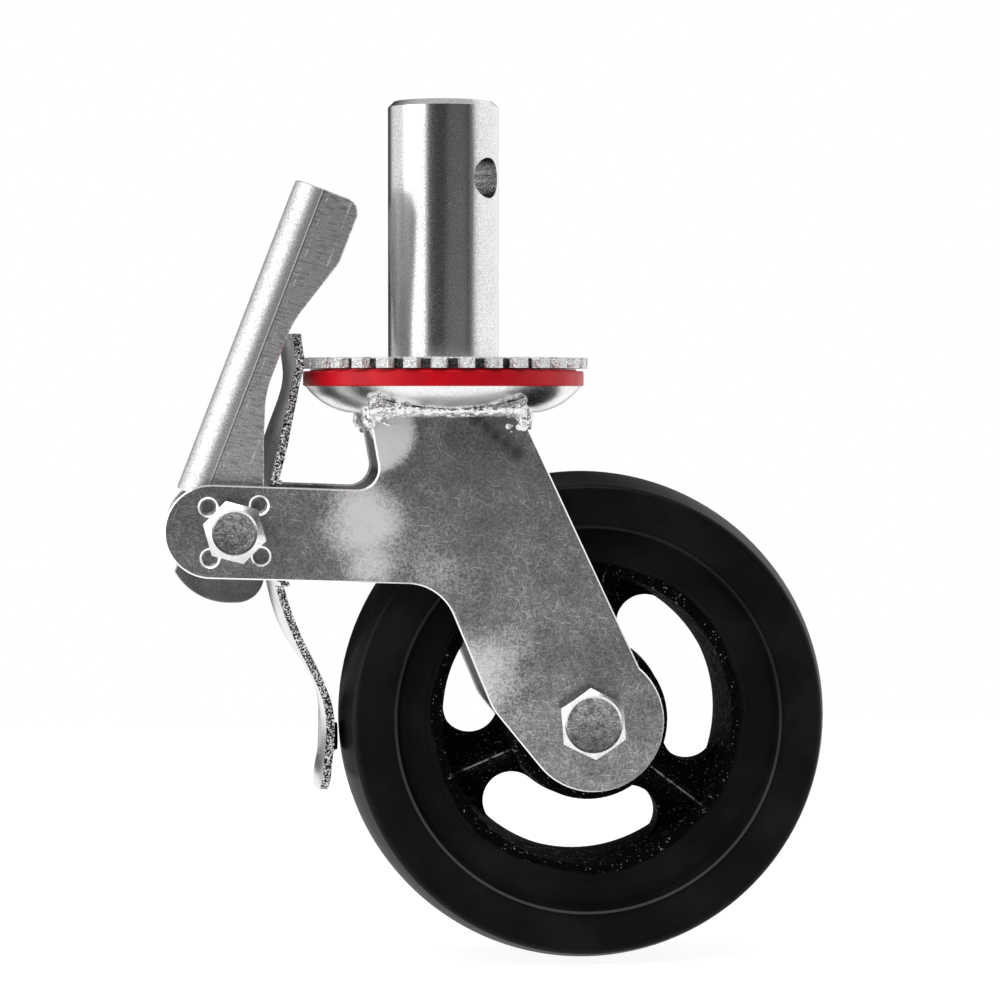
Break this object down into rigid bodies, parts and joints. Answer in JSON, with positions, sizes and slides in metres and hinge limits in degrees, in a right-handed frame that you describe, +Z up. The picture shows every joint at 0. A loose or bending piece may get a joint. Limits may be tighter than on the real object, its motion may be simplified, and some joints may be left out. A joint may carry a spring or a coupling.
{
  "type": "scaffold castor",
  "caption": "Swivelling scaffold castor: solid stem with a cross hole, toothed lock plate, plate fork, rubber tyred cast iron wheel and a cam lever that brakes wheel and swivel.",
  "frame": {"origin": "on the stem's axis, at the top face of the toothed lock plate, where the scaffold tube's end rests", "axes": "+Z up the stem, +X from the swivel axis towards the wheel, +Y along the axle away from the bolt heads"},
  "size_m": [0.2056, 0.0938, 0.2669],
  "materials": {
    "stem": "zinc plated bar, dull bright",
    "lock_plate": "zinc plated, bright cut teeth",
    "zinc_sheet": "zinc plated pressing",
    "fork_plate": "mottled zinc plate with fine scratches",
    "weld": "rippled weld, plated over",
    "lever": "mottled zinc plate",
    "leaf": "zinc plate with rough sheared edges",
    "fastener": "zinc plated fasteners",
    "bearing_steel": "hardened and ground",
    "cage": "pressed brass",
    "dust_ring": "red plastic, slightly glossy",
    "core": "black painted casting, grainy",
    "tyre": "black rubber",
    "pad": "black rubber stud"
  },
  "bodies": {
    "stem_side": {"stem": "stem", "lock_plate": "lock_plate", "race_sleeve": "bearing_steel", "lower_cup": "zinc_sheet", "kingpin_washer": "zinc_sheet", "kingpin_nut": "fastener"},
    "upper_ball_row": {"upper_balls": "bearing_steel"},
    "lower_ball_row": {"lower_balls": "bearing_steel"},
    "fork": {"swivel_bowl": "zinc_sheet", "dust_ring": "dust_ring", "fork_plate_near": "fork_plate", "fork_plate_far": "fork_plate", "fork_weld_near": "weld", "fork_weld_far": "weld", "axle_bolt": "fastener", "axle_washer": "zinc_sheet", "axle_nut": "fastener", "axle_sleeve": "bearing_steel", "thrust_washers": "cage", "pivot_bolt": "fastener", "pivot_washer": "zinc_sheet", "pivot_nut": "fastener", "pivot_sleeve": "bearing_steel", "brake_pad": "pad"},
    "roller_row": {"bearing_rollers": "bearing_steel", "roller_cage": "cage"},
    "wheel": {"wheel_core": "core", "tyre": "tyre"},
    "lever": {"brake_lever": "lever"},
    "leaf": {"brake_leaf": "leaf"}
  },
  "joints": [
    {"name": "swivel", "type": "hinge", "parent": "stem_side", "child": "fork", "pos_m": [0, 0, 0], "axis": [0, 0, 1], "continuous": true},
    {"name": "upper_orbit", "type": "hinge", "parent": "stem_side", "child": "upper_ball_row", "pos_m": [0, 0, 0], "axis": [0, 0, 1], "continuous": true},
    {"name": "lower_orbit", "type": "hinge", "parent": "stem_side", "child": "lower_ball_row", "pos_m": [0, 0, 0], "axis": [0, 0, 1], "continuous": true},
    {"name": "wheel_spin", "type": "hinge", "parent": "fork", "child": "wheel", "pos_m": [0.043, 0, -0.1113], "axis": [0, 1, 0], "continuous": true},
    {"name": "roller_orbit", "type": "hinge", "parent": "fork", "child": "roller_row", "pos_m": [0.043, 0, -0.1113], "axis": [0, 1, 0], "continuous": true},
    {"name": "lever_turn", "type": "hinge", "parent": "fork", "child": "lever", "pos_m": [-0.0654, 0, -0.0528], "axis": [0, -1, 0], "range_deg": [0, 90]},
    {"name": "leaf_push", "type": "slide", "parent": "fork", "child": "leaf", "axis": [1, 0, 0], "range_m": [0, 0.0125], "deforming": ["brake_leaf"]}
  ],
  "couplings": [
    {"joint": "upper_orbit", "follows": "swivel", "ratio": 0.5},
    {"joint": "lower_orbit", "follows": "swivel", "ratio": 0.5},
    {"joint": "roller_orbit", "follows": "wheel_spin", "ratio": 0.6},
    {"joint": "leaf_push", "follows": "lever_turn", "m_per_rad": 0.0077668}
  ]
}
